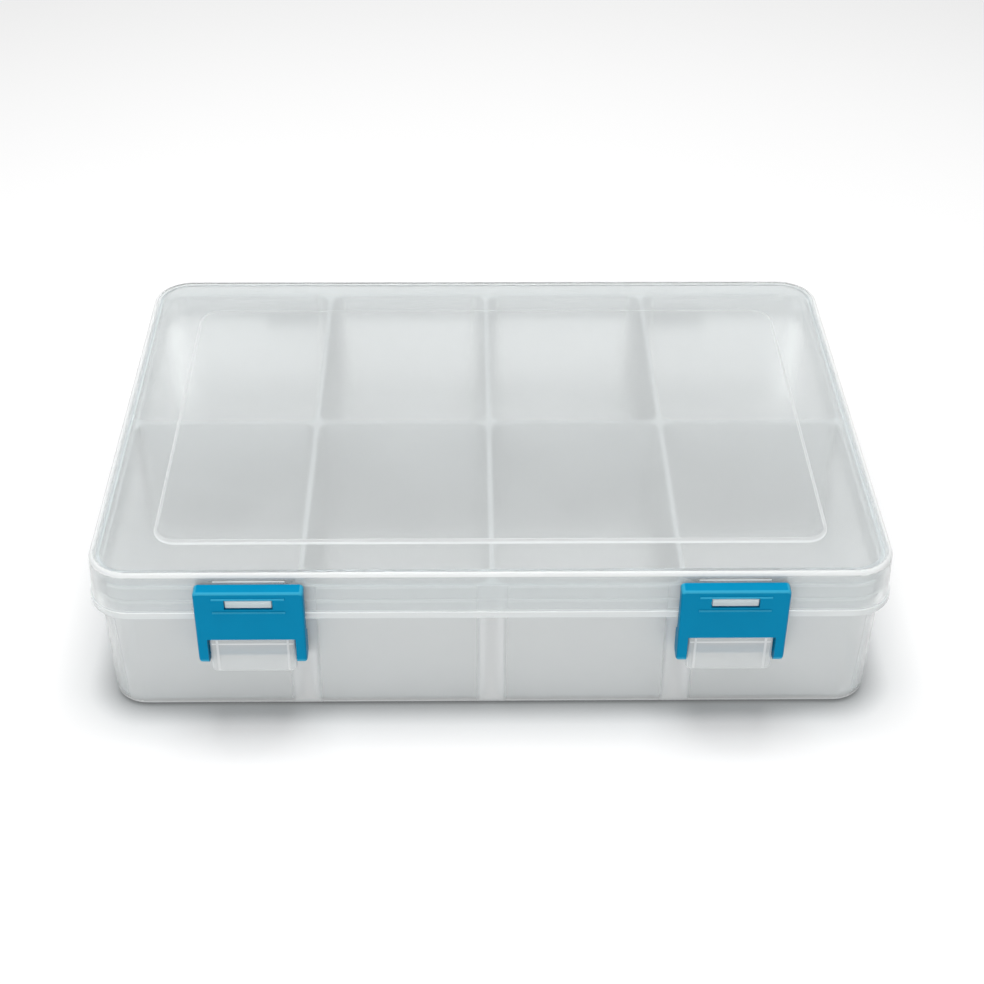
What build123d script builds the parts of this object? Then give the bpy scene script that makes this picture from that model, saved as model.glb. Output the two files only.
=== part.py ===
from build123d import *
import math
import os

# Lengths are in millimetres. +X runs to the right of someone facing the latches, +Y to the back, +Z up.
# The origin is the middle of the tray's underside, on the surface that the box stands on.

# Lid
LID_LENGTH = 270.0
LID_DEPTH = 193.6
LID_CORNER = 14.4
LID_WALL = 1.6
LID_DRAFT = 2.0
LID_EDGE_ROUND = 1.8
SKIRT_HEIGHT = 18.0
SKIRT_BEAD_HEIGHT = 2.5
SKIRT_BEAD_OUT = 0.45
PANEL_MARGIN = 20.5
PANEL_FORWARD = 3.4
PANEL_RISE = 0.8
PANEL_CORNER = 8.0
PANEL_SLOPE = 50.0
PANEL_ROUND = 0.5
SEAT_RIB_WALL = 1.2
SEAT_RIB_HEIGHT = 4.6

# Tray
RIM_HEIGHT = 55.0
RIM_GAP = 0.75
TRAY_WALL = 1.8
TRAY_DRAFT = 0.85
TRAY_FLOOR = 1.8
TRAY_EDGE_ROUND = 3.2
RIM_BEAD_DROP = 6.2
RIM_BEAD_HEIGHT = 1.0
RIM_BEAD_OUT = 0.4
DIVIDER_WALL = 1.6
END_POCKET_LENGTH = 66.3
MIDDLE_WALL_Y = 0.0
POCKET_CORNER = 4.2
POCKET_FLOOR_ROUND = 2.2
POCKET_DRAFT = 0.5

# Latches, and the brackets on the tray that they turn in
LATCH_FROM_END = 54.6
LATCH_WIDTH = 36.3
LATCH_TOP_DROP = 3.0
LATCH_WALL = 1.4
LATCH_TOP_ROUND = 1.0
LATCH_REACH = 5.4
LATCH_CORNER = 1.6
HOOK_HEIGHT = 1.8
HOOK_GAP = 0.3
CATCH_OUT = 0.9
CATCH_HEIGHT = 1.5
CATCH_DROP = 0.4
CATCH_PAD_WIDTH = 24.0
CATCH_PAD_OUT = 0.5
CATCH_PAD_GAP = 0.3
WINDOW_WIDTH = 16.0
WINDOW_HEIGHT = 3.8
WINDOW_DROP = 5.0
GRIP_WIDTH = 24.0
GRIP_HEIGHT = 0.8
GRIP_OUT = 0.5
GRIP_SPACING = 5.6
GRIP_DROP = 0.4
LEG_WIDTH = 3.4
LEG_FOOT = 2.9
BAR_RADIUS = 1.5
BAR_RUNNING_GAP = 0.06
PIVOT_HEIGHT = 29.8
PIVOT_OUT = 3.6
BRACKET_HEIGHT = 15.0
BRACKET_PLATE = 1.25
BRACKET_CHEEK = 2.6
BRACKET_RAIL = 2.6
BRACKET_ROUND = 1.1
BRACKET_CORNER = 2.0
BAR_MOUTH = 2.5
BAR_FRONT_GAP = 0.35
SIDE_GAP = 0.3

# Rear hinge: two bars moulded on the tray, each in a clip moulded on the lid
HINGE_FROM_END = 54.0
HINGE_RADIUS = 3.0
HINGE_OUT = 2.1
HINGE_GAP = 0.3
HINGE_BAR_RADIUS = 1.5
HINGE_RUNNING_GAP = 0.06
EAR_WIDTH = 3.0
CLIP_WIDTH = 16.0
CLIP_MOUTH = 2.5
HINGE_WEB = 4.0


def spread(angle, height):
    return height * math.tan(math.radians(angle))


# The lid sits on the tray's rim by a rib under its top.
TOP = RIM_HEIGHT + SEAT_RIB_HEIGHT + LID_WALL
SKIRT_EDGE = TOP - SKIRT_HEIGHT


def lid_half(size, height):
    """Half of the lid's outer size at a height, without the bead."""
    return size / 2 + spread(LID_DRAFT, TOP - height)


def tray_half(size, height):
    """Half of the tray's outer size at a height."""
    rim = lid_half(size, RIM_HEIGHT) - LID_WALL - RIM_GAP
    return rim - spread(TRAY_DRAFT, RIM_HEIGHT - height)


TRAY_CORNER = LID_CORNER - LID_WALL - RIM_GAP
PIVOT_Y = -tray_half(LID_DEPTH, PIVOT_HEIGHT) - PIVOT_OUT
BEAD_Y = lid_half(LID_DEPTH, SKIRT_EDGE) + SKIRT_BEAD_OUT
LATCH_FACE_Y = -BEAD_Y - LATCH_REACH + SKIRT_BEAD_OUT
LATCH_TOP = TOP - LATCH_TOP_DROP
HOOK_UNDER = LATCH_TOP - HOOK_HEIGHT
CATCH_TOP = HOOK_UNDER - CATCH_DROP
CATCH_FRONT_Y = -lid_half(LID_DEPTH, CATCH_TOP) - CATCH_OUT
BRACKET_FRONT_Y = PIVOT_Y - BAR_RADIUS - BAR_FRONT_GAP - BRACKET_PLATE
BRACKET_WIDTH = LATCH_WIDTH - 2 * (LEG_WIDTH + SIDE_GAP)
BRACKET_TOP = PIVOT_HEIGHT + BRACKET_HEIGHT / 2
NOTCH_REACH = math.hypot(BRACKET_FRONT_Y - PIVOT_Y, BRACKET_TOP - PIVOT_HEIGHT) + SIDE_GAP
HINGE_Y = BEAD_Y + HINGE_OUT
HINGE_DROP = math.sqrt((HINGE_RADIUS + HINGE_GAP) ** 2 - HINGE_OUT ** 2)
HINGE_Z = SKIRT_EDGE - HINGE_DROP
LATCH_OFFSET = LID_LENGTH / 2 - LATCH_FROM_END
HINGE_OFFSET = LID_LENGTH / 2 - HINGE_FROM_END
POCKET_END = tray_half(LID_LENGTH, RIM_HEIGHT) - TRAY_WALL
DIVIDER_OFFSET = POCKET_END - END_POCKET_LENGTH - DIVIDER_WALL / 2


def box(x, y, z):
    """A box between the low and high values of x, y and z."""
    size = [high - low for low, high in (x, y, z)]
    middle = [(high + low) / 2 for low, high in (x, y, z)]
    return Pos(*middle) * Box(*size)


def rod(x0, x1, y, z, radius):
    """A round bar along X."""
    return Pos((x0 + x1) / 2, y, z) * Rot(0, 90, 0) * Cylinder(radius, x1 - x0)


def outline(half_x, half_y, corner):
    return RectangleRounded(2 * half_x, 2 * half_y, corner)


def leaning_block(x, y, low, high, draft):
    """A square-cornered block whose walls lean in by the draft from its low end to its high end."""
    middle = Pos((x[0] + x[1]) / 2, (y[0] + y[1]) / 2, low)
    return extrude(middle * Rectangle(x[1] - x[0], y[1] - y[0]), amount=high - low, taper=draft)


def corner_edges(shape):
    """The edges that run from one height to another."""
    return ShapeList([edge for edge in shape.edges() if abs((edge @ 0).Z - (edge @ 1).Z) > 0.001])


def drafted(half_x, half_y, corner, low, high, draft):
    """A block around the middle whose walls lean in as they rise. The sizes are those at its low end."""
    block = leaning_block((-half_x, half_x), (-half_y, half_y), low, high, draft)
    return fillet(corner_edges(block), corner)


def edges_at(shape, height):
    """The edges that lie flat at one height."""
    return shape.edges().filter_by_position(Axis.Z, height - 0.001, height + 0.001)


def tray_shell():
    half_x = tray_half(LID_LENGTH, 0)
    half_y = tray_half(LID_DEPTH, 0)
    shell = drafted(half_x, half_y, TRAY_CORNER, 0, RIM_HEIGHT, -TRAY_DRAFT)
    return fillet(edges_at(shell, 0), TRAY_EDGE_ROUND) + rim_bead()


def rim_bead():
    """A low band round the tray, hidden by the lid's skirt, that stiffens the rim."""
    low = RIM_HEIGHT - RIM_BEAD_DROP - RIM_BEAD_HEIGHT / 2
    high = low + RIM_BEAD_HEIGHT
    half_x = tray_half(LID_LENGTH, low) + RIM_BEAD_OUT
    half_y = tray_half(LID_DEPTH, low) + RIM_BEAD_OUT
    bead = drafted(half_x, half_y, TRAY_CORNER + RIM_BEAD_OUT, low, high, -TRAY_DRAFT)
    return fillet(edges_at(bead, low) + edges_at(bead, high), RIM_BEAD_OUT * 0.7)


def pocket(x, y):
    """One compartment. Its corner at the tray's own corner follows that, the others are smaller."""
    space = leaning_block(x, y, RIM_HEIGHT, TRAY_FLOOR, POCKET_DRAFT)
    corners = corner_edges(space).sort_by_distance((0, MIDDLE_WALL_Y, RIM_HEIGHT / 2))
    at_tray_end = max(abs(x[0]), abs(x[1])) > DIVIDER_OFFSET + DIVIDER_WALL
    if at_tray_end:
        space = fillet(corners[-1], TRAY_CORNER - TRAY_WALL)
        corners = corner_edges(space).sort_by_distance((0, MIDDLE_WALL_Y, RIM_HEIGHT / 2))[:3]
    space = fillet(corners, POCKET_CORNER)
    return fillet(edges_at(space, TRAY_FLOOR), POCKET_FLOOR_ROUND)


def pockets():
    depth = tray_half(LID_DEPTH, RIM_HEIGHT) - TRAY_WALL
    half = DIVIDER_WALL / 2
    walls = [-DIVIDER_OFFSET, 0, DIVIDER_OFFSET]
    columns = list(zip([-POCKET_END] + [x + half for x in walls], [x - half for x in walls] + [POCKET_END]))
    rows = [(-depth, MIDDLE_WALL_Y - half), (MIDDLE_WALL_Y + half, depth)]
    return [pocket(x, y) for x in columns for y in rows]


def bracket(x):
    """The clear pocket on the front wall that a latch's bar turns in. The bar snaps in from below."""
    wall_y = -tray_half(LID_DEPTH, BRACKET_TOP) + TRAY_WALL / 2
    low = BRACKET_TOP - BRACKET_HEIGHT
    half = BRACKET_WIDTH / 2
    body = box((x - half, x + half), (BRACKET_FRONT_Y, wall_y), (low, BRACKET_TOP))
    lower_corners = body.edges().filter_by(Axis.Y).group_by(Axis.Z)[0]
    body = fillet(lower_corners, BRACKET_CORNER)
    front = body.faces().sort_by(Axis.Y)[0]
    body = fillet(front.edges(), BRACKET_ROUND)
    inner = half - BRACKET_CHEEK
    hollow_y = (BRACKET_FRONT_Y + BRACKET_PLATE, wall_y)
    hollow = box((x - inner, x + inner), hollow_y, (low, BRACKET_TOP - BRACKET_RAIL))
    bore = rod(x - half, x + half, PIVOT_Y, PIVOT_HEIGHT, BAR_RADIUS + BAR_RUNNING_GAP)
    mouth_y = (PIVOT_Y - BAR_MOUTH / 2, PIVOT_Y + BAR_MOUTH / 2)
    mouth = box((x - half, x + half), mouth_y, (low, PIVOT_HEIGHT))
    return body - hollow - bore - mouth


def hinge_spans(x):
    """Where the tray's two ears and the lid's clip lie along one hinge."""
    half = CLIP_WIDTH / 2
    near = half + HINGE_GAP
    far = near + EAR_WIDTH
    return [(x - far, x - near), (x + near, x + far)], (x - half, x + half)


def tray_hinge(x):
    """Two ears on the back wall with the bar between them that the lid's clip turns on."""
    (x0, x1), (x2, x3) = hinge_spans(x)[0]
    wall_y = tray_half(LID_DEPTH, HINGE_Z) - TRAY_WALL / 2
    top = SKIRT_EDGE - HINGE_GAP
    shape = rod(x0, x3, HINGE_Y, HINGE_Z, HINGE_BAR_RADIUS)
    for low, high in ((x0, x1), (x2, x3)):
        shape += rod(low, high, HINGE_Y, HINGE_Z, HINGE_RADIUS)
        shape += box((low, high), (wall_y, HINGE_Y), (top - HINGE_WEB, top)) - above_ear(low, high, top)
    return shape


def above_ear(x0, x1, top):
    """The space over an ear's round end, which the lid's skirt needs."""
    return box((x0, x1), (HINGE_Y - HINGE_RADIUS / 2, HINGE_Y), (HINGE_Z + HINGE_RADIUS, top + HINGE_RADIUS))


def base_tray():
    body = tray_shell()
    for x in (-LATCH_OFFSET, LATCH_OFFSET):
        body += bracket(x)
    for x in (-HINGE_OFFSET, HINGE_OFFSET):
        body += tray_hinge(x)
    for space in pockets():
        body -= space
    return body


def lid_shell():
    low_x = lid_half(LID_LENGTH, SKIRT_EDGE)
    low_y = lid_half(LID_DEPTH, SKIRT_EDGE)
    outer = drafted(low_x, low_y, LID_CORNER, SKIRT_EDGE, TOP, LID_DRAFT)
    outer = fillet(edges_at(outer, TOP), LID_EDGE_ROUND)
    wall = LID_WALL
    inner = drafted(low_x - wall, low_y - wall, LID_CORNER - wall, SKIRT_EDGE, TOP - wall, LID_DRAFT)
    return outer + skirt_bead(low_x, low_y) - inner


def skirt_bead(half_x, half_y):
    """The raised band round the skirt's lower edge."""
    high = SKIRT_EDGE + SKIRT_BEAD_HEIGHT
    out = SKIRT_BEAD_OUT
    bead = drafted(half_x + out, half_y + out, LID_CORNER + out, SKIRT_EDGE, high, LID_DRAFT)
    return fillet(edges_at(bead, high), out * 0.8)


def panel(low):
    """The low raised panel's block, up from the given height. It lies nearer the latches than the hinge."""
    half_x = LID_LENGTH / 2 - PANEL_MARGIN
    half_y = LID_DEPTH / 2 - PANEL_MARGIN
    plan = Pos(0, -PANEL_FORWARD, low) * outline(half_x, half_y, PANEL_CORNER)
    block = extrude(plan, amount=PANEL_RISE, taper=PANEL_SLOPE)
    return fillet(edges_at(block, low + PANEL_RISE), PANEL_ROUND)


def panel_foot(shape):
    """The edge all round the panel, level with the lid's top."""
    reach_x = LID_LENGTH / 2 - PANEL_MARGIN + PANEL_ROUND
    reach_y = LID_DEPTH / 2 - PANEL_MARGIN + PANEL_ROUND
    middle = Vector(0, -PANEL_FORWARD, 0)
    centres = [(edge, edge.center() - middle) for edge in edges_at(shape, TOP)]
    return ShapeList([edge for edge, at in centres if abs(at.X) < reach_x and abs(at.Y) < reach_y])


def seat_rib():
    """The rib under the lid's top that rests on the middle of the tray's rim."""
    inset = (TRAY_WALL - SEAT_RIB_WALL) / 2
    half_x = tray_half(LID_LENGTH, RIM_HEIGHT) - inset
    half_y = tray_half(LID_DEPTH, RIM_HEIGHT) - inset
    corner = TRAY_CORNER - inset
    ring = outline(half_x, half_y, corner)
    ring -= outline(half_x - SEAT_RIB_WALL, half_y - SEAT_RIB_WALL, corner - SEAT_RIB_WALL)
    return extrude(Pos(0, 0, RIM_HEIGHT) * ring, amount=SEAT_RIB_HEIGHT)


def catch_pad(x):
    """The raised pad on the front of the skirt that stands behind a latch."""
    half = CATCH_PAD_WIDTH / 2
    low = SKIRT_EDGE + SKIRT_BEAD_HEIGHT + CATCH_PAD_GAP
    high = TOP - LID_EDGE_ROUND - CATCH_PAD_GAP
    front_y = -lid_half(LID_DEPTH, low) - CATCH_PAD_OUT
    pad = box((x - half, x + half), (front_y, front_y + CATCH_PAD_OUT + LID_WALL / 2), (low, high))
    front = pad.faces().sort_by(Axis.Y)[0]
    return chamfer(front.edges(), CATCH_PAD_OUT * 0.4)


def catch(x):
    """The small ledge on the pad that a latch's hook closes over."""
    half = WINDOW_WIDTH / 2
    low = CATCH_TOP - CATCH_HEIGHT
    root_y = -lid_half(LID_DEPTH, CATCH_TOP) + LID_WALL / 2
    ledge = box((x - half, x + half), (CATCH_FRONT_Y, root_y), (low, CATCH_TOP))
    lower_front = ledge.edges().filter_by(Axis.X).sort_by(Axis.Y)[:2].sort_by(Axis.Z)[0]
    return chamfer(lower_front, CATCH_OUT * 0.6)


def lid_clip(x):
    """A clip under the skirt's edge that snaps over the tray's bar from the front. Its mouth faces back."""
    x0, x1 = hinge_spans(x)[1]
    root_y = lid_half(LID_DEPTH, SKIRT_EDGE) - LID_WALL / 2
    web_top = SKIRT_EDGE + HINGE_WEB
    web = box((x0, x1), (root_y, HINGE_Y), (SKIRT_EDGE, web_top))
    drop = box((x0, x1), (HINGE_Y - HINGE_RADIUS / 2, HINGE_Y + HINGE_RADIUS / 2), (HINGE_Z, web_top))
    foot = web + drop
    back_top = foot.edges().filter_by(Axis.X).sort_by(Axis.Z)[-2:].sort_by(Axis.Y)[-1]
    foot = fillet(back_top, HINGE_RADIUS / 2)
    shape = foot + rod(x0, x1, HINGE_Y, HINGE_Z, HINGE_RADIUS)
    mouth_z = (HINGE_Z - CLIP_MOUTH / 2, HINGE_Z + CLIP_MOUTH / 2)
    mouth = box((x0, x1), (HINGE_Y, HINGE_Y + HINGE_RADIUS), mouth_z)
    return shape - mouth - rod(x0, x1, HINGE_Y, HINGE_Z, HINGE_BAR_RADIUS + HINGE_RUNNING_GAP)


def lid():
    body = lid_shell() + panel(TOP)
    body = fillet(panel_foot(body), PANEL_ROUND)
    body -= panel(TOP - LID_WALL)
    body += seat_rib()
    for x in (-LATCH_OFFSET, LATCH_OFFSET):
        body += catch_pad(x) + catch(x)
    for x in (-HINGE_OFFSET, HINGE_OFFSET):
        body += lid_clip(x)
    return body


def leg_profile():
    """A leg seen from the side, from its rounded foot at the pivot up to the hook."""
    foot_z = PIVOT_HEIGHT - LEG_FOOT
    front = LATCH_FACE_Y
    back = -BEAD_Y - HOOK_GAP * 3
    low_back = PIVOT_Y + LEG_FOOT
    knee = SKIRT_EDGE - LEG_WIDTH
    points = [(front, LATCH_TOP), (front, foot_z), (PIVOT_Y, foot_z), (low_back, PIVOT_HEIGHT),
              (low_back, knee - (low_back - back)), (back, knee), (back, LATCH_TOP)]
    plan = Plane.YZ * Polygon(*points, align=None)
    foot_front = plan.vertices().sort_by_distance((0, front, foot_z))[0]
    plan = fillet(foot_front, LEG_FOOT + SIDE_GAP)
    pivot_round = Plane.YZ * Pos(PIVOT_Y, PIVOT_HEIGHT) * Circle(LEG_FOOT)
    return plan + pivot_round


def latch(x):
    half = LATCH_WIDTH / 2
    inner = half - LEG_WIDTH
    side = extrude(leg_profile(), amount=LEG_WIDTH)
    notch_top = PIVOT_HEIGHT + NOTCH_REACH
    body = box((-half, half), (LATCH_FACE_Y, LATCH_FACE_Y + LATCH_WALL), (notch_top, LATCH_TOP))
    body += Pos(-half, 0, 0) * side
    body += Pos(inner, 0, 0) * side
    hook_y = CATCH_FRONT_Y - HOOK_GAP
    hook = box((-half, half), (LATCH_FACE_Y, hook_y), (HOOK_UNDER, LATCH_TOP))
    body += hook
    corners = body.edges().filter_by(Axis.Y).group_by(Axis.Z)[-1]
    body = fillet(corners, LATCH_CORNER)
    front_edge = edges_at(body, LATCH_TOP).sort_by(Axis.Y)[0]
    body = fillet(front_edge, LATCH_TOP_ROUND)
    middle = LATCH_TOP - WINDOW_DROP
    window_z = (middle - WINDOW_HEIGHT / 2, middle + WINDOW_HEIGHT / 2)
    body -= box((-WINDOW_WIDTH / 2, WINDOW_WIDTH / 2), (LATCH_FACE_Y, LATCH_FACE_Y + LATCH_WALL), window_z)
    for z in (-GRIP_SPACING / 2, GRIP_SPACING / 2):
        body += grip(middle - GRIP_DROP + z)
    body += rod(-inner, inner, PIVOT_Y, PIVOT_HEIGHT, BAR_RADIUS)
    return Pos(x, 0, 0) * body


def grip(z):
    """A low ridge across the latch's face."""
    half = GRIP_WIDTH / 2
    face = LATCH_FACE_Y
    ridge = box((-half, half), (face - GRIP_OUT, face + GRIP_OUT), (z - GRIP_HEIGHT / 2, z + GRIP_HEIGHT / 2))
    front = ridge.edges().filter_by(Axis.X).sort_by(Axis.Y)[:2]
    return chamfer(front, GRIP_OUT * 0.7)


os.makedirs("parts", exist_ok=True)
export_step(base_tray(), "parts/base_tray.step")
export_step(lid(), "parts/lid.step")
export_step(latch(-LATCH_OFFSET), "parts/latch_left.step")
export_step(latch(LATCH_OFFSET), "parts/latch_right.step")
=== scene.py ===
import math
import bmesh
import bpy
from mathutils import Matrix, Vector


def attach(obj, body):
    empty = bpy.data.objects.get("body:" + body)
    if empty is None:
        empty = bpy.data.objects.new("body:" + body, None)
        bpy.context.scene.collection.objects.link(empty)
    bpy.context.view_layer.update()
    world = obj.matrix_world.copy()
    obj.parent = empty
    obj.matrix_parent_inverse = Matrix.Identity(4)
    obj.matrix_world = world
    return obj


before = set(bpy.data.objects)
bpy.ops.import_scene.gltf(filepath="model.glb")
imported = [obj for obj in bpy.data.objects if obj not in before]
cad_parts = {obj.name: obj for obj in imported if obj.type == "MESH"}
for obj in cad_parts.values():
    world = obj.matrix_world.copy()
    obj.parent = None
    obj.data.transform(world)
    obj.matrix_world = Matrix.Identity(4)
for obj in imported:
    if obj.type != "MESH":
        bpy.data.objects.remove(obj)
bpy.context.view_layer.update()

# Where the CAD's parts lie, in metres from the middle of the tray's underside. OUTER_WALL is about how far out
# the walls round the tray start, at the ends and at the front and back. The milkier front and back fade in from
# WALL_Y. The two lines along each cheek of a bracket lie CHEEK_OUTSIDE and CHEEK_INSIDE in from its side.
DIVIDER_X = 0.06397
OUTER_WALL = (0.1303, 0.0922)
WALL_Y = 0.0915
CORNER_Y = 0.094
LID_TOP = 0.0612
SKIRT_BEAD = 0.04445
RIM_TOP = 0.055
RIM_BEAD = 0.0483
BRACKET_FACE = 0.0958
BRACKET_HALF = 0.01445
BRACKET_Z = (0.0223, 0.0373)
CHEEK_OUTSIDE = 0.0003
CHEEK_INSIDE = 0.0026
LATCH_X = 0.0804

# Half the width of a milky stripe, in metres: as far as it is full, and where it is gone.
DIVIDER_STRIPE = (0.0014, 0.0022)
CORNER_STRIPE = (0.0036, 0.0052)
CORNER_DEPTH = (0.003, 0.006)
SKIRT_BEAD_STRIPE = (0.0011, 0.0014)
RIM_BEAD_STRIPE = (0.0005, 0.0009)
CHEEK_STRIPE = (0.0003, 0.0007)
RAIL_STRIPE = (0.0002, 0.0006)

# Where a milky part fades in, in metres: how far below the tray's rim, how far inside a bracket's top and foot,
# and over what distance at a wall. Between two heights the front wall grows milkier toward the rim, and the
# back wall toward its foot.
RIM_FADE = (0.0016, 0.0010)
BRACKET_TOP_FADE = (0.0010, 0.0006)
BRACKET_FOOT_FADE = (0.0009, 0.0005)
BRACKET_FACE_FADE = (0.0003, -0.0004)
PANEL_FADE = 0.0001
WALL_FADE = 0.0003
FACE_FADE = 0.0005
FRONT_GROWS = (0.0, 0.046)
BACK_GROWS = (0.018, 0.010)

# A rounded edge, by how much its surface faces up or down: where it starts and where it ends.
EDGE_STARTS = (0.12, 0.35)
EDGE_ENDS = (0.985, 0.93)

# How milky a part is. 0 is as clear as the rest, and 1 passes only MILKIEST of the light. These strengths and
# the places above were set by comparing tones with the photograph. Why a part is milkier is guessed.
MILKIEST = 0.28
PANEL_EDGE = 0.45
SKIRT_BEAD_MILK = 0.5
RIM_MILK = 0.9
RIM_BEAD_MILK = 0.8
DIVIDER_MILK = 0.45
CORNER_MILK = 0.85
FRONT_MILK = (0.25, 0.45)
BACK_MILK = (0.32, 0.5)
BRACKET_PLATE_MILK = 0.05
BRACKET_EDGE_MILK = 0.8

# How strongly the painted highlight, a lighter blue, shows along a latch's rounded top, edges and ridges.
LATCH_PAINTED_HIGHLIGHT = 0.5

# The lugs that stand in the latches' windows.
LUG_WIDTH = 0.0154
LUG_Y = (-0.10245, -0.0970)
LUG_Z = (0.0516, 0.0548)
LUG_SLOPE = 0.0002
LUG_ROUND = 0.0003

# The light that the floor gives off of its own, as a share of full white, seen straight and seen through the
# plastic. Both were fitted to the photograph's tones. Card has no light of its own.
FLOOR_LIFT = 0.10
FLOOR_LIFT_THROUGH = 0.45

# How far the painted contact shadow under the box reaches on the floor, in metres. There occlusion darkens the
# card's colour.
CONTACT_SHADOW = 0.011

# How strongly the white room lights the box. A ray that looks at the room sees full white.
ROOM_LIGHT = 0.36

# Polypropylene bends light by this much, its textured walls are this rough, and its faint cloudy patches are
# this large.
IOR = 1.49
TEXTURED_ROUGH = 0.50
CLEAR_CLOUD_MM = 35
LATCH_CLOUD_MM = 8

CLEAR_TINT = "#f7f9f9"
LUG_TINT = "#f0f9fb"
TRAY_LETS_THROUGH = "#cccfd0"
LID_LETS_THROUGH = "#f0f3f4"
LATCH_BLUE = "#0086b3"
LATCH_BLUE_CLOUD = "#008dba"
# The lighter blue of the latches' painted highlight, on their rounded top, edges and ridges.
LATCH_BLUE_PAINTED_HIGHLIGHT = "#4fbcda"
CARD_WHITE = "#f4f4f4"
WHITE = "#ffffff"

# The camera as fitted to the photograph: lens in mm, place in metres, angles in degrees.
LENS = 66.63
CAMERA_PLACE = (-0.00906, -0.56397, 0.43855)
CAMERA_TURN, CAMERA_DOWN, CAMERA_ROLL = -1.069, 36.348, 0.455


def srgb(code):
    """A colour written as #rrggbb, as the linear values a shader takes."""
    parts = [int(code[i:i + 2], 16) / 255 for i in (1, 3, 5)]
    linear = [p / 12.92 if p <= 0.04045 else ((p + 0.055) / 1.055) ** 2.4 for p in parts]
    return (*linear, 1.0)


def new_material(name):
    material = bpy.data.materials.new(name)
    material.use_nodes = True
    material.node_tree.nodes.clear()
    return material, material.node_tree


def add_node(tree, kind, settings=None, feeds=(), **links):
    """Adds a node. settings holds its options and socket values. feeds fills its first sockets in turn, each
    from a socket or with a number, and links says what feeds its sockets by name."""
    node = tree.nodes.new(kind)
    for key, value in (settings or {}).items():
        if key in node.inputs:
            node.inputs[key].default_value = value
        else:
            setattr(node, key, value)
    for socket, source in zip(node.inputs, feeds):
        if isinstance(source, (int, float)):
            socket.default_value = source
        else:
            tree.links.new(source, socket)
    for key, source in links.items():
        tree.links.new(source, node.inputs[key.replace("_", " ")])
    return node


def moulded_relief(tree, place, grain_mm, grain_depth, wave_mm, wave_depth):
    """The fine texture of the mould and the slow waves that plastic sets in as it cools. The mould's real grain
    is too fine to show, so it is drawn as coarse as grain_mm."""
    grain = add_node(tree, "ShaderNodeTexNoise", {"Scale": 1000 / grain_mm, "Detail": 2.0}, Vector=place)
    waves = add_node(tree, "ShaderNodeTexNoise", {"Scale": 1000 / wave_mm, "Detail": 1.0}, Vector=place)
    slow = add_node(tree, "ShaderNodeBump", {"Strength": wave_depth, "Distance": 0.001},
                    Height=waves.outputs["Fac"])
    return add_node(tree, "ShaderNodeBump", {"Strength": grain_depth, "Distance": 0.0001},
                    Height=grain.outputs["Fac"], Normal=slow.outputs["Normal"])


def any_of(tree, *parts):
    """As strong at each point as the strongest of the parts."""
    result = parts[0]
    for part in parts[1:]:
        result = add_node(tree, "ShaderNodeMath", {"operation": "MAXIMUM"}, (result, part)).outputs[0]
    return result


def all_of(tree, *parts):
    """The parts times each other, so it shows only where all of them do. A number among them is a strength."""
    result = parts[0]
    for part in parts[1:]:
        result = add_node(tree, "ShaderNodeMath", {"operation": "MULTIPLY"}, (result, part)).outputs[0]
    return result


def size_along(tree, vector, axis):
    """How large a vector is along an axis, whichever way it points."""
    apart = add_node(tree, "ShaderNodeSeparateXYZ", Vector=vector)
    return add_node(tree, "ShaderNodeMath", {"operation": "ABSOLUTE"}, [apart.outputs[axis]]).outputs[0]


def milky_line(tree, place, axis, offset, full, gone):
    """1 within full metres of the planes at plus and minus offset on an axis, and 0 past gone."""
    away = add_node(tree, "ShaderNodeMath", {"operation": "SUBTRACT"}, (size_along(tree, place, axis), offset))
    gap = add_node(tree, "ShaderNodeMath", {"operation": "ABSOLUTE"}, [away.outputs[0]])
    line = add_node(tree, "ShaderNodeMapRange", {"From Min": gone, "From Max": full}, Value=gap.outputs[0])
    return line.outputs["Result"]


def milky_toward(tree, place, axis, start, end, low=0.0, high=1.0):
    """Goes from low at start to high at end on an axis, and holds both past them."""
    apart = add_node(tree, "ShaderNodeSeparateXYZ", Vector=place)
    ends = {"From Min": start, "From Max": end, "To Min": low, "To Max": high}
    return add_node(tree, "ShaderNodeMapRange", ends, Value=apart.outputs[axis]).outputs["Result"]


def rounded_edges(tree):
    """1 where a surface turns from facing up or down to facing sideways, as on a rim, a bead or a lip."""
    facing = size_along(tree, add_node(tree, "ShaderNodeTexCoord").outputs["Normal"], "Z")
    ends = [add_node(tree, "ShaderNodeMapRange", {"From Min": low, "From Max": high}, Value=facing)
            for low, high in (EDGE_STARTS, EDGE_ENDS)]
    return all_of(tree, *(node.outputs["Result"] for node in ends))


def lid_edges(tree, place):
    """The lid's rounded edges, fainter round its low panel, and the bead along its skirt."""
    fainter = milky_toward(tree, place, "Z", LID_TOP, LID_TOP + PANEL_FADE, 1.0, PANEL_EDGE)
    bead = milky_line(tree, place, "Z", SKIRT_BEAD, *SKIRT_BEAD_STRIPE)
    return any_of(tree, all_of(tree, rounded_edges(tree), fainter), all_of(tree, bead, SKIRT_BEAD_MILK))


def cross_walls(tree, place, full, gone):
    """The three walls that run from the front to the back."""
    return any_of(tree, milky_line(tree, place, "X", 0.0, full, gone),
                  milky_line(tree, place, "X", DIVIDER_X, full, gone))


def outer_walls(tree, place):
    """1 in the walls round the tray, at any height, and 0 inside them."""
    walls = []
    for axis, start in zip("XY", OUTER_WALL):
        ends = {"From Min": start - WALL_FADE, "From Max": start + WALL_FADE}
        out = size_along(tree, place, axis)
        walls.append(add_node(tree, "ShaderNodeMapRange", ends, Value=out).outputs["Result"])
    return any_of(tree, *walls)


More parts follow.
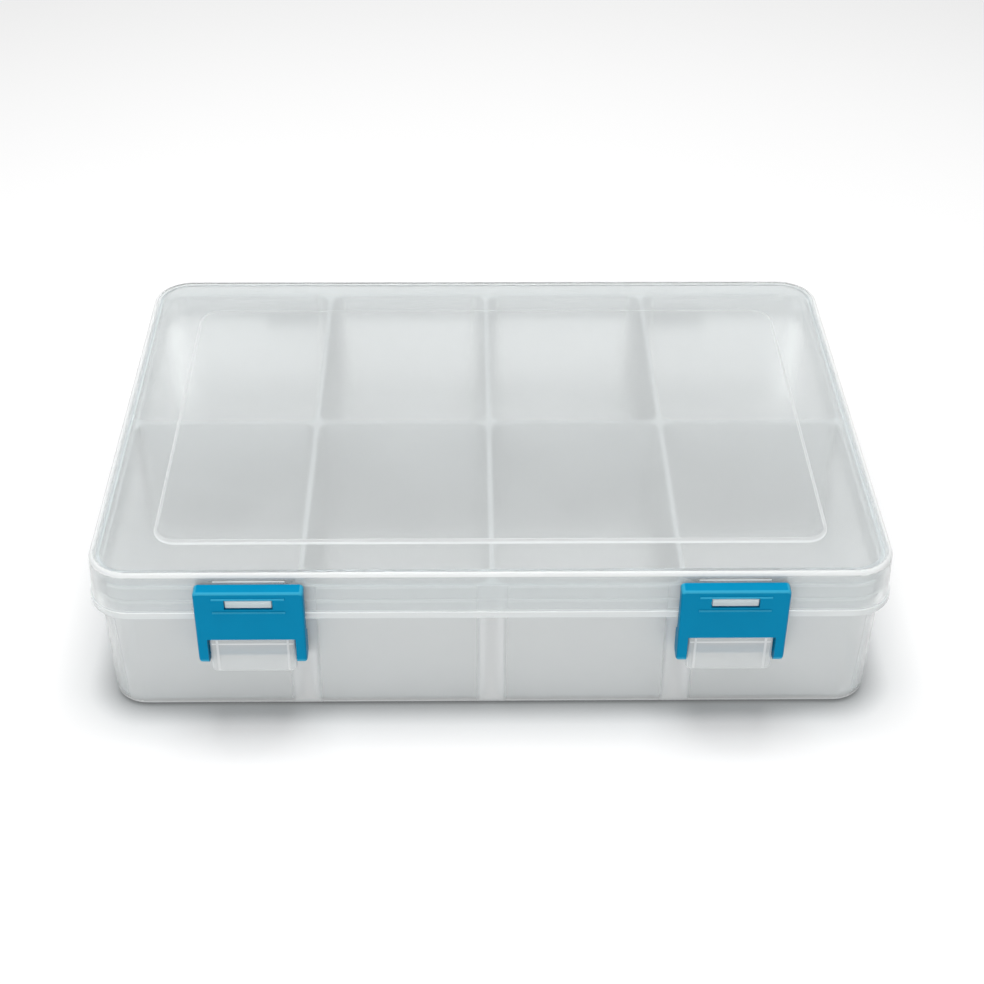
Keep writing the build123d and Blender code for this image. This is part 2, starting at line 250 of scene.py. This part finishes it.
def milky_outside(tree, place):
    """The rim and the bead below it, which show through the lid's skirt as two light lines, the front wall,
    milkier toward the rim, and the back wall, milkier toward its foot."""
    rim = milky_toward(tree, place, "Z", *(RIM_TOP - below for below in RIM_FADE), 0.0, RIM_MILK)
    bead = all_of(tree, milky_line(tree, place, "Z", RIM_BEAD, *RIM_BEAD_STRIPE), RIM_BEAD_MILK)
    front = all_of(tree, milky_toward(tree, place, "Y", -WALL_Y, -WALL_Y - FACE_FADE),
                   milky_toward(tree, place, "Z", *FRONT_GROWS, *FRONT_MILK))
    back = all_of(tree, milky_toward(tree, place, "Y", WALL_Y, WALL_Y + FACE_FADE),
                  milky_toward(tree, place, "Z", *BACK_GROWS, *BACK_MILK))
    return all_of(tree, outer_walls(tree, place), any_of(tree, rim, bead, front, back))


def bracket_frame(tree, place):
    """The latches' brackets: milky lines along the edges of their cheeks and rail, where the photograph has
    light lines, and a plate that is nearly clear."""
    low, high = BRACKET_Z
    lines = [milky_line(tree, place, "X", LATCH_X + side * (BRACKET_HALF - inset), *CHEEK_STRIPE)
             for side in (-1, 1) for inset in (CHEEK_OUTSIDE, CHEEK_INSIDE)]
    lines.append(milky_line(tree, place, "Z", high - CHEEK_INSIDE, *RAIL_STRIPE))
    lines.append(milky_toward(tree, place, "Z", *(high - inside for inside in BRACKET_TOP_FADE)))
    lines.append(milky_toward(tree, place, "Z", *(low + inside for inside in BRACKET_FOOT_FADE)))
    edges = all_of(tree, any_of(tree, *lines), BRACKET_EDGE_MILK)
    brackets = milky_toward(tree, place, "Y", *(inside - BRACKET_FACE for inside in BRACKET_FACE_FADE))
    return all_of(tree, brackets, any_of(tree, edges, BRACKET_PLATE_MILK))


def tray_edges(tree, place):
    """The tray's rounded edges, its rim and outer walls, and the frame of each latch's bracket."""
    return any_of(tree, rounded_edges(tree), milky_outside(tree, place), bracket_frame(tree, place))


def compartment_walls(tree, place):
    """The walls between the compartments, with the thick corners where these meet the front and back."""
    walls = any_of(tree, milky_line(tree, place, "Y", 0.0, *DIVIDER_STRIPE),
                   cross_walls(tree, place, *DIVIDER_STRIPE))
    corners = all_of(tree, cross_walls(tree, place, *CORNER_STRIPE),
                     milky_line(tree, place, "Y", CORNER_Y, *CORNER_DEPTH))
    return any_of(tree, all_of(tree, walls, DIVIDER_MILK), all_of(tree, corners, CORNER_MILK))


def clear_polypropylene(name, tint, clear, rough, wave_mm, lets_through, milky, textured=None):
    """Injection moulded polypropylene, natural and unfilled. Its faint milkiness veils what lies behind each
    wall, shows most where milky says, and keeps its highlights soft. textured adds walls that blur much more,
    as from a textured part of the mould. Lamp light and soft light pass straight through, tinted by
    lets_through, which keeps the box's shadow like the photograph's."""
    material, tree = new_material(name)
    place = add_node(tree, "ShaderNodeTexCoord").outputs["Object"]
    relief = moulded_relief(tree, place, grain_mm=0.6, grain_depth=0.08, wave_mm=wave_mm, wave_depth=0.04)
    noise = add_node(tree, "ShaderNodeTexNoise", {"Scale": 1000 / CLEAR_CLOUD_MM, "Detail": 3.0}, Vector=place)
    cloud = noise.outputs["Fac"]
    polish = add_node(tree, "ShaderNodeMapRange", {"To Min": rough - 0.05, "To Max": rough + 0.05},
                      Value=cloud).outputs["Result"]
    veil = add_node(tree, "ShaderNodeMapRange", {"To Min": clear + 0.03, "To Max": clear - 0.03},
                    Value=cloud).outputs["Result"]
    cloudy = milky(tree, place)
    if textured:
        walls = textured(tree, place)
        cloudy = any_of(tree, cloudy, walls)
        polish = add_node(tree, "ShaderNodeMapRange", {"From Max": DIVIDER_MILK, "To Max": TEXTURED_ROUGH},
                          Value=walls, To_Min=polish).outputs["Result"]
    veil = add_node(tree, "ShaderNodeMapRange", {"To Max": MILKIEST},
                    Value=cloudy, To_Min=veil).outputs["Result"]
    plastic = add_node(tree, "ShaderNodeBsdfPrincipled", {"Base Color": srgb(tint), "IOR": IOR},
                       Roughness=polish, Normal=relief.outputs["Normal"], Transmission_Weight=veil)
    passed = add_node(tree, "ShaderNodeBsdfTransparent", {"Color": srgb(lets_through)})
    path = add_node(tree, "ShaderNodeLightPath")
    shader = plastic
    for ray in ("Is Diffuse Ray", "Is Shadow Ray"):
        shader = add_node(tree, "ShaderNodeMixShader", None,
                          (path.outputs[ray], shader.outputs[0], passed.outputs[0]))
    add_node(tree, "ShaderNodeOutputMaterial", Surface=shader.outputs[0])
    return material


def blue_latch_plastic():
    """Blue pigmented polypropylene from a fine spark eroded mould: solid colour, with a sheen so low that the
    white room doesn't pale it. Its rounded top, edges and ridges carry a painted highlight: a lighter blue
    where they catch the light, as in the photograph but less so. Why is guessed: pigment thins there, or
    those edges catch more light."""
    material, tree = new_material("blue_moulded_polypropylene")
    place = add_node(tree, "ShaderNodeTexCoord").outputs["Object"]
    relief = moulded_relief(tree, place, grain_mm=0.35, grain_depth=0.25, wave_mm=9, wave_depth=0.03)
    cloud = add_node(tree, "ShaderNodeTexNoise", {"Scale": 1000 / LATCH_CLOUD_MM, "Detail": 3.0}, Vector=place)
    rough = add_node(tree, "ShaderNodeMapRange", {"To Min": 0.30, "To Max": 0.42}, Value=cloud.outputs["Fac"])
    # The two colours that a Mix node goes between are its sockets 6 and 7.
    tone = add_node(tree, "ShaderNodeMix", {"data_type": "RGBA"})
    tone.inputs[6].default_value = srgb(LATCH_BLUE)
    tone.inputs[7].default_value = srgb(LATCH_BLUE_CLOUD)
    tree.links.new(cloud.outputs["Fac"], tone.inputs["Factor"])
    # Painted highlight: a lighter blue mixed in along the latch's rounded top, edges and ridges.
    edges = add_node(tree, "ShaderNodeMix", {"data_type": "RGBA"})
    edges.inputs[7].default_value = srgb(LATCH_BLUE_PAINTED_HIGHLIGHT)
    tree.links.new(all_of(tree, rounded_edges(tree), LATCH_PAINTED_HIGHLIGHT), edges.inputs["Factor"])
    tree.links.new(tone.outputs[2], edges.inputs[6])
    plastic = add_node(tree, "ShaderNodeBsdfPrincipled", {"IOR": IOR, "Specular IOR Level": 0.05},
                       Roughness=rough.outputs["Result"], Normal=relief.outputs["Normal"])
    tree.links.new(edges.outputs[2], plastic.inputs["Base Color"])
    add_node(tree, "ShaderNodeOutputMaterial", Surface=plastic.outputs[0])
    return material


def catch_lug(name, x, material):
    """The lug on the lid's front that stands in a latch's window. Its top slopes, so that the latch snaps over
    it."""
    low, high = LUG_Z
    front, root = LUG_Y
    shape = bmesh.new()
    bmesh.ops.create_cube(shape, size=1.0)
    bmesh.ops.scale(shape, vec=(LUG_WIDTH, root - front, high - low), verts=shape.verts)
    bmesh.ops.translate(shape, vec=(x, (root + front) / 2, (low + high) / 2), verts=shape.verts)
    top_front = [v for v in shape.verts if v.co.z > low + (high - low) / 2 and v.co.y < (root + front) / 2]
    bmesh.ops.translate(shape, vec=(0, 0, -LUG_SLOPE), verts=top_front)
    bmesh.ops.bevel(shape, geom=list(shape.edges), offset=LUG_ROUND, segments=3, profile=0.5, affect="EDGES",
                    material=-1)
    mesh = bpy.data.meshes.new(name)
    shape.to_mesh(mesh)
    shape.free()
    mesh.shade_smooth()
    lug = bpy.data.objects.new(name, mesh)
    bpy.context.scene.collection.objects.link(lug)
    mesh.materials.append(material)
    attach(lug, "lid")


def dress(node, material):
    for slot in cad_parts[node].material_slots:
        slot.material = material


def looking(tree):
    """1 for a ray that looks, straight or in gloss or through plastic, and 0 for one that gathers light."""
    path = add_node(tree, "ShaderNodeLightPath")
    looks = any_of(tree, path.outputs["Is Camera Ray"], path.outputs["Is Glossy Ray"],
                   path.outputs["Is Transmission Ray"])
    first = add_node(tree, "ShaderNodeMath", {"operation": "LESS_THAN"}, (path.outputs["Diffuse Depth"], 0.5))
    return all_of(tree, looks, first.outputs[0])


def pale_floor():
    """A white card floor with the box's shadow, deepened near the box's foot by a painted contact shadow that
    darkens the card's colour. It gives off light of its own to rays that look at it, most where it is seen
    through the plastic. That stands in for light that real milky walls spread inside the box. It belongs to
    this floor, so on another floor the inside of the box would look darker."""
    bpy.ops.mesh.primitive_plane_add(size=6.0, location=(0, 1.0, 0))
    floor = bpy.context.object
    floor.name = "floor"
    material, tree = new_material("white_card_floor")
    # Painted contact shadow: occlusion within CONTACT_SHADOW darkens the card's colour near the box.
    painted_contact_shadow = add_node(tree, "ShaderNodeAmbientOcclusion",
                       {"Color": srgb(CARD_WHITE), "Distance": CONTACT_SHADOW, "samples": 8})
    card = add_node(tree, "ShaderNodeBsdfDiffuse", Color=painted_contact_shadow.outputs["Color"])
    through = add_node(tree, "ShaderNodeLightPath").outputs["Is Transmission Ray"]
    lift = add_node(tree, "ShaderNodeMapRange", {"To Min": FLOOR_LIFT, "To Max": FLOOR_LIFT_THROUGH},
                    Value=through).outputs["Result"]
    glow = add_node(tree, "ShaderNodeEmission", {"Color": srgb(WHITE)},
                    Strength=all_of(tree, lift, looking(tree)))
    lighter = add_node(tree, "ShaderNodeAddShader", None, (card.outputs[0], glow.outputs[0]))
    add_node(tree, "ShaderNodeOutputMaterial", Surface=lighter.outputs[0])
    floor.data.materials.append(material)


def soft_box(name, place, aim, width, height, power):
    """A soft lamp that leaves no mirror image of itself. The flat lid seen from above is a little less bleached
    without it."""
    data = bpy.data.lights.new(name, "AREA")
    data.shape = "RECTANGLE"
    data.size, data.size_y = width, height
    data.energy = power
    lamp = bpy.data.objects.new(name, data)
    bpy.context.scene.collection.objects.link(lamp)
    lamp.location = place
    lamp.visible_glossy = False
    lamp.rotation_euler = (Vector(aim) - Vector(place)).to_track_quat("-Z", "Y").to_euler()


def studio():
    """A room that looks white and lights the box softly, with two soft lamps."""
    world = bpy.data.worlds.new("white_room")
    bpy.context.scene.world = world
    world.use_nodes = True
    tree = world.node_tree
    tree.nodes.clear()
    room = add_node(tree, "ShaderNodeBackground", {"Color": srgb(WHITE), "Strength": ROOM_LIGHT})
    shown = add_node(tree, "ShaderNodeBackground", {"Color": srgb(WHITE), "Strength": 1.0})
    both = add_node(tree, "ShaderNodeMixShader", None, (looking(tree), room.outputs[0], shown.outputs[0]))
    add_node(tree, "ShaderNodeOutputWorld", Surface=both.outputs[0])
    soft_box("overhead_soft_box", (0, 0.02, 1.1), (0, 0.02, 0), width=0.6, height=0.55, power=9.5)
    soft_box("low_front_soft_box", (-0.5, -1.7, 0.35), (0, -0.1, 0.03), width=1.0, height=0.5, power=7)


def photo_camera():
    data = bpy.data.cameras.new("camera")
    data.sensor_width = 36.0
    data.lens = LENS
    camera = bpy.data.objects.new("camera", data)
    bpy.context.scene.collection.objects.link(camera)
    turn = Matrix.Rotation(math.radians(CAMERA_TURN), 4, "Z")
    tilt = Matrix.Rotation(math.radians(90 - CAMERA_DOWN), 4, "X")
    roll = Matrix.Rotation(math.radians(CAMERA_ROLL), 4, "Z")
    camera.matrix_world = Matrix.Translation(CAMERA_PLACE) @ turn @ tilt @ roll
    bpy.context.scene.camera = camera


scene = bpy.context.scene
scene.view_settings.view_transform = "Standard"
photo_camera()
studio()
pale_floor()

tray_plastic = clear_polypropylene("clear_polypropylene_tray", CLEAR_TINT, clear=0.84, rough=0.22, wave_mm=14,
                                   lets_through=TRAY_LETS_THROUGH, milky=tray_edges, textured=compartment_walls)
dress("base_tray", tray_plastic)
lid_plastic = clear_polypropylene("clear_polypropylene_lid", CLEAR_TINT, clear=0.80, rough=0.20, wave_mm=22,
                                  lets_through=LID_LETS_THROUGH, milky=lid_edges)
dress("lid", lid_plastic)
lug_plastic = clear_polypropylene("clear_polypropylene_lugs", LUG_TINT, clear=0.45, rough=0.30, wave_mm=22,
                                  lets_through=LID_LETS_THROUGH, milky=lid_edges)
catch_lug("catch_lug_left", -LATCH_X, lug_plastic)
catch_lug("catch_lug_right", LATCH_X, lug_plastic)
blue = blue_latch_plastic()
dress("latch_left", blue)
dress("latch_right", blue)
